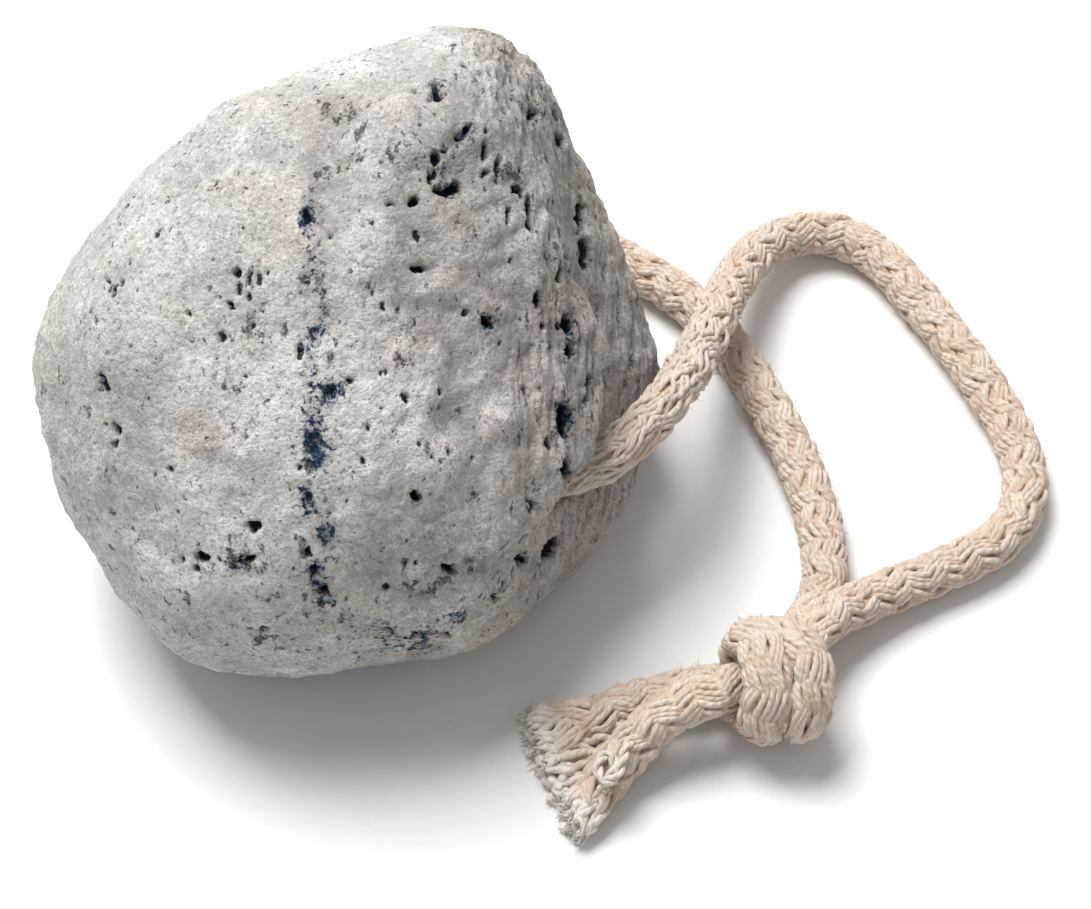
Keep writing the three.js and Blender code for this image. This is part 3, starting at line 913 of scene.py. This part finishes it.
MATHS, MIX, RANGE, MAPPING = "ShaderNodeMath", "ShaderNodeMix", "ShaderNodeMapRange", "ShaderNodeMapping"
NOISE, CELLS, GIVEN = "ShaderNodeTexNoise", "ShaderNodeTexVoronoi", "ShaderNodeAttribute"
TIMES, PLUS, MOST = ({"operation": name} for name in ("MULTIPLY", "ADD", "MAXIMUM"))
TIMES_PLUS, MORE_THAN = {"operation": "MULTIPLY_ADD"}, {"operation": "GREATER_THAN"}
COLOURS = {"data_type": "RGBA"}
SMOOTH, EVEN = {"interpolation_type": "SMOOTHSTEP"}, {"interpolation_type": "LINEAR"}
MIXED = 2  # where a colour mix gives its colour


def water_worn_pumice():
    """Water-worn pumice: foamed volcanic glass, tumbled dull, so it is chalky pale, with painted shade
    darkening its open pores.
    """
    material, tree, shader = new_material("water_worn_pumice")
    place = add_node(tree, "ShaderNodeTexCoord", give="Object")
    leaned = add_node(
        tree, MAPPING, {"vector_type": "TEXTURE"},
        Vector=place, Location=tuple(FACE_MIDDLE), Rotation=(math.pi / 2 - LOOK_DOWN, 0, 0),
    )
    jitter = add_node(tree, NOISE, give="Color", Vector=leaned, Scale=1 / (0.9 * MM), Detail=3.0)
    ragged = add_node(
        tree, "ShaderNodeVectorMath", TIMES_PLUS, i0=jitter, i1=(1.1 * MM,) * 3, i2=leaned,
    )
    drawn, taller, hair = (
        add_node(tree, MAPPING, Vector=ragged, Scale=scale)
        for scale in ((1, 0.16, 0.8), (1, 0.52, 1), (1, 0.12, 0.8))
    )
    mottle, cloud, grain, grit, grains, crumbs, clumps, smoke, streak, lines, worm, fine_worm = (
        add_node(tree, NOISE, Vector=pattern, Scale=1 / (size * MM), Detail=detail, Roughness=roughness)
        for pattern, size, detail, roughness in (
            (leaned, 14, 3, 0.5), (leaned, 5, 5, 0.65), (leaned, 1.0, 5, 0.78), (leaned, 0.38, 3, 0.7),
            (leaned, 0.8, 3, 0.65), (ragged, 0.85, 2, 0.5), (taller, 3.2, 3, 0.6), (taller, 1.7, 4, 0.7),
            (drawn, 0.8, 3, 0.7), (hair, 0.6, 3, 0.65), (taller, 1.5, 3, 0.6), (taller, 0.75, 3, 0.6),
        )
    )
    light, pink, sunken, crowd, grained, stain, deep = (
        add_node(tree, GIVEN, {"attribute_name": name}, "Fac")
        for name in ("light", "pink", "sunken", "crowd", "grained", "stain", "pit")
    )
    sand = add_node(tree, CELLS, Vector=ragged, Scale=1 / (0.55 * MM))
    sand_grains = add_node(tree, "ShaderNodeSeparateColor", Color=sand.node.outputs["Color"])

    # Small open pores: each cell of a pattern may hold one, and more of them do in the crowded bands.
    thick = add_node(tree, RANGE, SMOOTH, Value=clumps, From_Min=0.44, From_Max=0.66)
    share = add_node(tree, MATHS, PLUS, i0=crowd, i1=0.20)
    share = add_node(tree, MATHS, TIMES, i0=share, i1=thick)
    slotted = add_node(tree, MATHS, TIMES, i0=grained, i1=0.45)
    holes = 0.0
    for pattern, size, edge, chance in ((taller, 1.9, 0.34, share), (drawn, 0.9, 0.36, slotted)):
        cells = add_node(tree, CELLS, Vector=pattern, Scale=1 / (size * MM))
        luck = add_node(tree, "ShaderNodeSeparateColor", Color=cells.node.outputs["Color"])
        held = add_node(tree, MATHS, MORE_THAN, i0=chance, i1=luck)
        round_hole = add_node(tree, RANGE, SMOOTH, Value=cells, From_Min=edge, From_Max=0.12)
        held = add_node(tree, MATHS, TIMES, i0=held, i1=round_hole)
        holes = add_node(tree, MATHS, MOST, i0=holes, i1=held)
    for winding, edge in ((worm, 0.66), (fine_worm, 0.67)):
        winding = add_node(tree, MATHS, TIMES_PLUS, i0=share, i1=0.17, i2=winding)
        eaten = add_node(tree, RANGE, SMOOTH, Value=winding, From_Min=edge, From_Max=edge + 0.07)
        holes = add_node(tree, MATHS, MOST, i0=holes, i1=eaten)
    broken = add_node(tree, RANGE, SMOOTH, Value=grit, From_Min=0.62, From_Max=0.42, To_Min=0.35)
    holes = add_node(tree, MATHS, TIMES, i0=holes, i1=broken)

    # Dark blue grains fill the pores of a few patches, and painted shade darkens the hollows' floors.
    clotted = add_node(tree, RANGE, SMOOTH, Value=clumps, From_Min=0.36, From_Max=0.60)
    clotted = add_node(tree, MATHS, TIMES_PLUS, i0=clotted, i1=0.6, i2=0.4)
    soft_stain = add_node(tree, MATHS, TIMES, i0=stain, i1=clotted)
    marked = add_node(tree, RANGE, Value=soft_stain, From_Min=0.05, From_Max=0.30)
    ink = add_node(tree, MATHS, TIMES_PLUS, i0=soft_stain, i1=0.30, i2=grains)
    uneven = add_node(tree, RANGE, Value=grit, From_Min=0.30, From_Max=0.70, To_Min=-0.30, To_Max=0.30)
    deep = add_node(tree, MATHS, PLUS, i0=deep, i1=uneven)

    # The chalky skin is cool and warm greys in slow patches, and each coat lies over those before it:
    # a pattern, the values where the coat sets in and is full, its strength, where it may be, its hue.
    warm = add_node(tree, RANGE, SMOOTH, Value=mottle, From_Min=0.38, From_Max=0.60)
    colour = add_node(tree, MIX, COLOURS, MIXED, i0=warm, i6=linear("#acb0b4"), i7=linear("#b9b3a9"))
    for pattern, ramp, low, high, most, where, code in (
        (cloud, SMOOTH, 0.50, 0.70, 0.8, None, "#dcdcda"),  # pale and dull flecks
        (cloud, SMOOTH, 0.47, 0.30, 0.6, None, "#9a9b9c"),
        (1.0, EVEN, 0, 1, 1, light, "#e7e5e1"),  # the paler parts, which are also painted light on the top, middle and lower left, and the rusty pink ones
        (cloud, EVEN, 0.40, 0.62, 0.55, pink, "#c9a892"),
        (grain, SMOOTH, 0.48, 0.30, 0.62, None, "#85868a"),  # grains, grit and crumbs
        (grain, SMOOTH, 0.54, 0.70, 0.55, None, "#e6e6e3"),
        (grit, SMOOTH, 0.47, 0.34, 0.55, None, "#74726f"),
        (grit, SMOOTH, 0.54, 0.66, 0.55, None, "#f1efea"),
        (crumbs, SMOOTH, 0.62, 0.69, 0.65, None, "#857b6c"),
        (sunken, EVEN, 0.28, 0.9, 0.6, None, "#8a8580"),  # painted shade in the low places
        (sand_grains, SMOOTH, 0.30, 0.0, 0.30, None, "#8e8c88"),
        (sand_grains, SMOOTH, 0.70, 1.0, 0.22, None, "#efefec"),
        (smoke, SMOOTH, 0.47, 0.62, 1, share, "#7b7873"),
        (1.0, EVEN, 0, 1, 0.35, grained, "#9e9184"),  # the drawn-out grain: a warmer, darker tone that is also painted shade on the stone's right side
        # painted shade down the grain's furrows and painted highlight along their pale edges
        (streak, SMOOTH, 0.52, 0.34, 1, slotted, "#6f6c69"),
        (lines, SMOOTH, 0.47, 0.34, 0.55, grained, "#5f5852"),
        (lines, SMOOTH, 0.54, 0.68, 0.5, grained, "#ddd5ca"),
        (holes, EVEN, 0.0, 0.5, 0.55, None, "#8c8177"),  # painted shade on the pores' rims and down in them
        (holes, EVEN, 0.35, 1.0, 0.85, None, "#403f40"),
        # painted shade in the carved hollows
        (deep, SMOOTH, 0.22, 0.50, 0.7, None, "#77706a"),
        (soft_stain, SMOOTH, 0.12, 0.85, 0.75, None, "#6a7886"),  # a blue haze round the dark grains
    ):
        coat = add_node(tree, RANGE, ramp, Value=pattern, From_Min=low, From_Max=high, To_Max=most)
        if where is not None:
            coat = add_node(tree, MATHS, TIMES, i0=coat, i1=where)
        colour = add_node(tree, MIX, COLOURS, MIXED, i0=coat, i6=colour, i7=linear(code))
    inky = add_node(tree, RANGE, SMOOTH, Value=ink, From_Min=0.60, From_Max=0.72)
    inky = add_node(tree, MATHS, TIMES, i0=inky, i1=marked)
    bluer = add_node(tree, RANGE, SMOOTH, Value=grit, From_Min=0.46, From_Max=0.60)
    ink_blue = add_node(tree, MIX, COLOURS, MIXED, i0=bluer, i6=linear("#10263c"), i7=linear("#41586b"))
    colour = add_node(tree, MIX, COLOURS, MIXED, i0=inky, i6=colour, i7=ink_blue)
    # painted shade on the hollows' floors, bluer where they are stained
    dark = add_node(tree, RANGE, SMOOTH, Value=deep, From_Min=0.48, From_Max=0.72)
    pit_floor = add_node(tree, MIX, COLOURS, MIXED, i0=marked, i6=linear("#29282a"), i7=linear("#142138"))
    colour = add_node(tree, MIX, COLOURS, MIXED, i0=dark, i6=colour, i7=pit_floor)
    tree.links.new(colour, shader.inputs["Base Color"])

    height = add_node(tree, MATHS, TIMES, i0=grain, i1=0.8)
    for pattern, weight in ((sand, -0.35), (grit, 0.5), (cloud, 1.6), (holes, -1.1)):
        height = add_node(tree, MATHS, TIMES_PLUS, i0=pattern, i1=weight, i2=height)
    ridged = add_node(tree, MATHS, TIMES_PLUS, i0=lines, i1=0.8, i2=streak)
    height = add_node(tree, MATHS, TIMES_PLUS, i0=ridged, i1=grained, i2=height)
    bump = add_node(tree, "ShaderNodeBump", Height=height, Strength=0.80, Distance=0.36 * MM)
    tree.links.new(bump, shader.inputs["Normal"])
    shader.inputs["Roughness"].default_value = 0.95
    shader.inputs["Specular IOR Level"].default_value = 0.25
    shader.inputs["IOR"].default_value = 1.5
    return material


def undyed_cotton():
    """Undyed cotton yarn, spun and plied: soft, creamy and matt, with painted shade making it browner down
    between the yarns.
    """
    material, tree, shader = new_material("undyed_braided_cotton")
    out, shade, run, lint = (
        add_node(tree, GIVEN, {"attribute_name": name}, "Fac") for name in ("out", "shade", "run", "lint")
    )
    around = add_node(tree, GIVEN, {"attribute_name": "round"}, "Vector")
    twist = add_node(tree, MATHS, TIMES, i0=run, i1=TURN / (2.4 * MM))
    wound = add_node(tree, "ShaderNodeVectorRotate", {"rotation_type": "Z_AXIS"}, Vector=around, Angle=twist)
    parts = add_node(tree, "ShaderNodeSeparateXYZ", Vector=wound)
    apart = add_node(tree, MATHS, TIMES, i0=shade, i1=37.0)
    lengthwise = add_node(tree, MATHS, TIMES_PLUS, i0=run, i1=0.35 / MM, i2=apart)
    fibre_place = add_node(tree, "ShaderNodeCombineXYZ", X=parts, Y=parts.node.outputs[1], Z=lengthwise)
    fibres = add_node(tree, NOISE, Vector=fibre_place, Scale=3.4, Detail=4.0, Roughness=0.7)
    place = add_node(tree, "ShaderNodeTexCoord", give="Object")
    blotch = add_node(tree, NOISE, Vector=place, Scale=1 / (5 * MM), Detail=3.0)
    fluff = add_node(tree, NOISE, Vector=place, Scale=1 / (0.7 * MM), Detail=3.0, Roughness=0.7)
    turn = add_node(tree, MATHS, {"operation": "ARCTAN2"}, i0=parts.node.outputs[1], i1=parts)
    turn = add_node(tree, MATHS, TIMES, i0=turn, i1=2.0)
    ply = add_node(tree, MATHS, {"operation": "SINE"}, i0=turn)

    # Each coat lies over those before it: a pattern, where it sets in and is full, strength and hue.
    # painted shade: yarns that lie further in, and the core, are browner
    raised = add_node(tree, RANGE, SMOOTH, Value=out, From_Min=0.0, From_Max=0.8)
    colour = add_node(tree, MIX, COLOURS, MIXED, i0=raised, i6=linear("#dcbfa4"), i7=linear("#f0e0d1"))
    for pattern, low, high, most, code in (
        (shade, 0.75, 0.15, 0.85, "#dac3ae"),  # some yarns are browner
        (blotch, 0.50, 0.72, 0.7, "#eee2d6"),
        (fluff, 0.48, 0.28, 0.5, "#d0b091"),  # tan and white flecks
        (fluff, 0.54, 0.72, 0.4, "#f1e8dd"),
        (ply, -0.35, -1.0, 0.22, "#c2a68b"),  # painted shade in the groove between a yarn's two plies
        (fibres, 0.56, 0.38, 0.40, "#c8a88c"),
    ):
        coat = add_node(tree, RANGE, SMOOTH, Value=pattern, From_Min=low, From_Max=high, To_Max=most)
        colour = add_node(tree, MIX, COLOURS, MIXED, i0=coat, i6=colour, i7=linear(code))
    colour = add_node(tree, MIX, COLOURS, MIXED, i0=lint, i6=colour, i7=linear("#faf4ea"))
    tree.links.new(colour, shader.inputs["Base Color"])
    furred = add_node(tree, MATHS, PLUS, i0=fibres, i1=fluff)
    furred = add_node(tree, MATHS, TIMES_PLUS, i0=ply, i1=0.35, i2=furred)
    bump = add_node(tree, "ShaderNodeBump", Height=furred, Strength=0.9, Distance=0.22 * MM)
    tree.links.new(bump, shader.inputs["Normal"])
    shader.inputs["Roughness"].default_value = 0.9
    shader.inputs["Specular IOR Level"].default_value = 0.15
    shader.inputs["Sheen Weight"].default_value = 0.2
    shader.inputs["Sheen Roughness"].default_value = 0.6
    return material


def matt_white_paper():
    """Matt white studio paper under everything."""
    material, tree, shader = new_material("matt_white_paper")
    place = add_node(tree, "ShaderNodeTexCoord", give="Object")
    tooth = add_node(tree, NOISE, Vector=place, Scale=900.0, Detail=2.0)
    colour = add_node(tree, MIX, COLOURS, MIXED, i0=tooth, i6=linear("#f4f4f3"), i7=linear("#efefee"))
    tree.links.new(colour, shader.inputs["Base Color"])
    shader.inputs["Roughness"].default_value = 0.9
    return material


PUMICE = water_worn_pumice()
COTTON = undyed_cotton()

stone.data.materials.clear()
stone.data.materials.append(PUMICE)
for piece in (cord_near, cord_far, knot, tail_front, tail_back):
    piece.data.materials.clear()
    piece.data.materials.append(COTTON)

# ---- floor and light ----

FLOOR_HALF = 1.2


def add_floor():
    shape = bmesh.new()
    bmesh.ops.create_grid(shape, x_segments=1, y_segments=1, size=FLOOR_HALF)
    mesh = bpy.data.meshes.new("floor")
    shape.to_mesh(mesh)
    shape.free()
    floor = new_object("floor", mesh)
    mesh.materials.append(matt_white_paper())


def add_light(name, at, size, power):
    """A white square soft box that faces the stone."""
    box = bpy.data.lights.new(name, "AREA")
    box.size = size
    box.energy = power
    light = bpy.data.objects.new(name, box)
    light.location = at
    light.rotation_euler = (LOOK_AT - Vector(at)).to_track_quat("-Z", "Y").to_euler()
    bpy.context.scene.collection.objects.link(light)


def add_sky(colour, strength):
    world = bpy.data.worlds.new("studio")
    bpy.context.scene.world = world
    world.use_nodes = True
    background = world.node_tree.nodes["Background"]
    background.inputs["Color"].default_value = linear(colour)
    background.inputs["Strength"].default_value = strength


add_floor()
add_light("key_softbox", at=(-0.25, 0.38, 0.93), size=0.55, power=14.4)
add_sky("#ffffff", strength=0.36)
bpy.context.scene.view_settings.view_transform = "Standard"

# ---- what stands for what ----

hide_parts("stone")
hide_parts("cord_near")
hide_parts("cord_far")
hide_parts("knot")
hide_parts("tail_front")
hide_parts("tail_back")
for piece in (stone, cord_near, cord_far, knot, tail_front, tail_back):
    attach(piece, "root")
